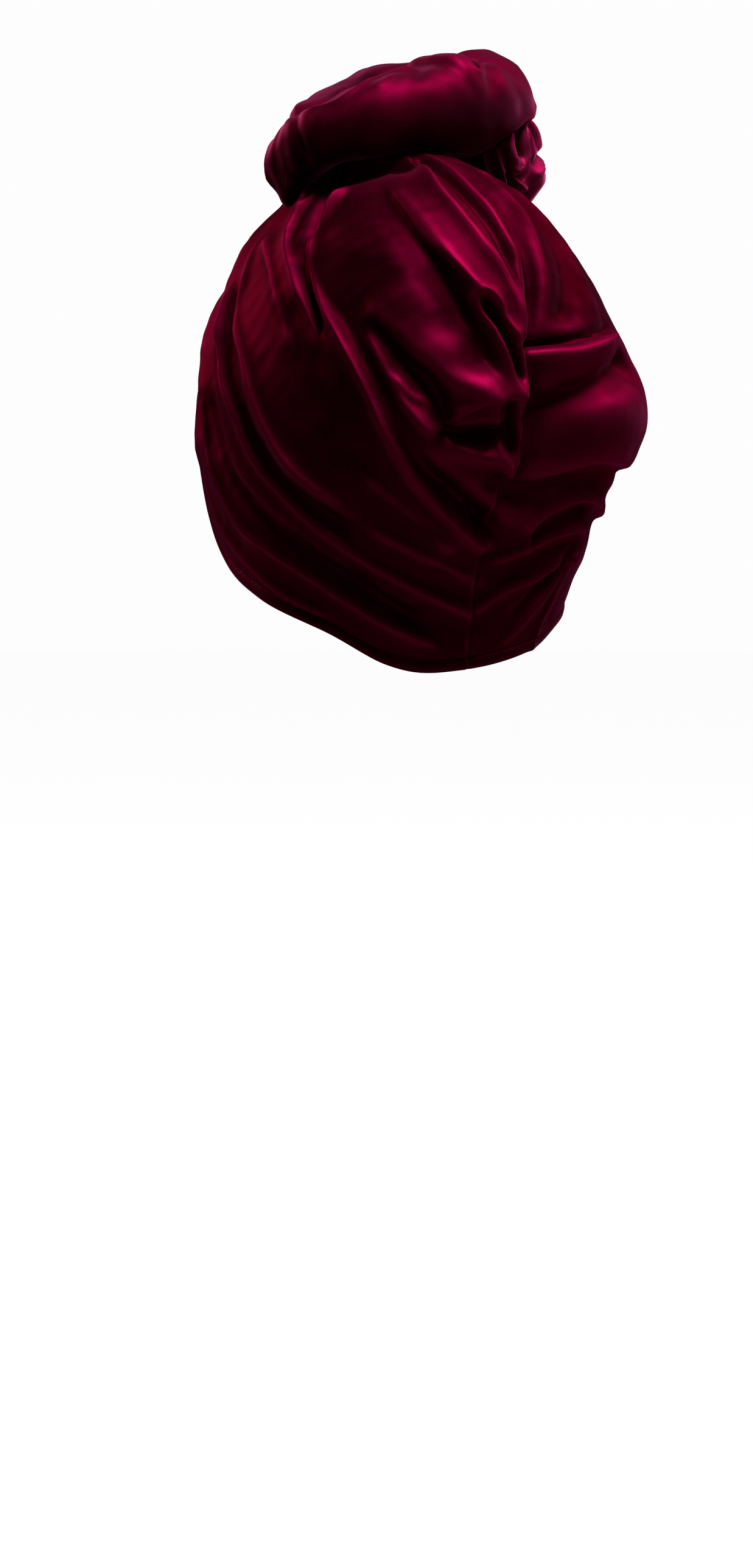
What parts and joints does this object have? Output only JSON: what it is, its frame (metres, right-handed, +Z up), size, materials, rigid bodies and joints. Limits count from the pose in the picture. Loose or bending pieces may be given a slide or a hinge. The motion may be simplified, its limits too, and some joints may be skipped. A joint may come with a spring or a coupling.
{
  "type": "turban headwrap",
  "caption": "Draped velvet turban with pleats gathered into a back seam, a turned hem and a coiled padded knot over a ruched tail on the crown.",
  "frame": {"origin": "inside of the crown, where the cap sits on top of a head", "axes": "+Z up, -Y where the face looks, +Y the back seam, +X the head's left"},
  "size_m": [0.1761, 0.1995, 0.2523],
  "materials": {
    "velvet": "dark wine-red stretch velvet, short nap",
    "hem_velvet": "the same velvet, turned under and stitched",
    "knot_velvet": "the same velvet, padded, with more sheen",
    "thread": "matching sewing thread"
  },
  "bodies": {
    "root": {"cap": "velvet", "hem": "hem_velvet", "knot_roll": "knot_velvet", "ruched_tail": "knot_velvet"}
  },
  "joints": []
}
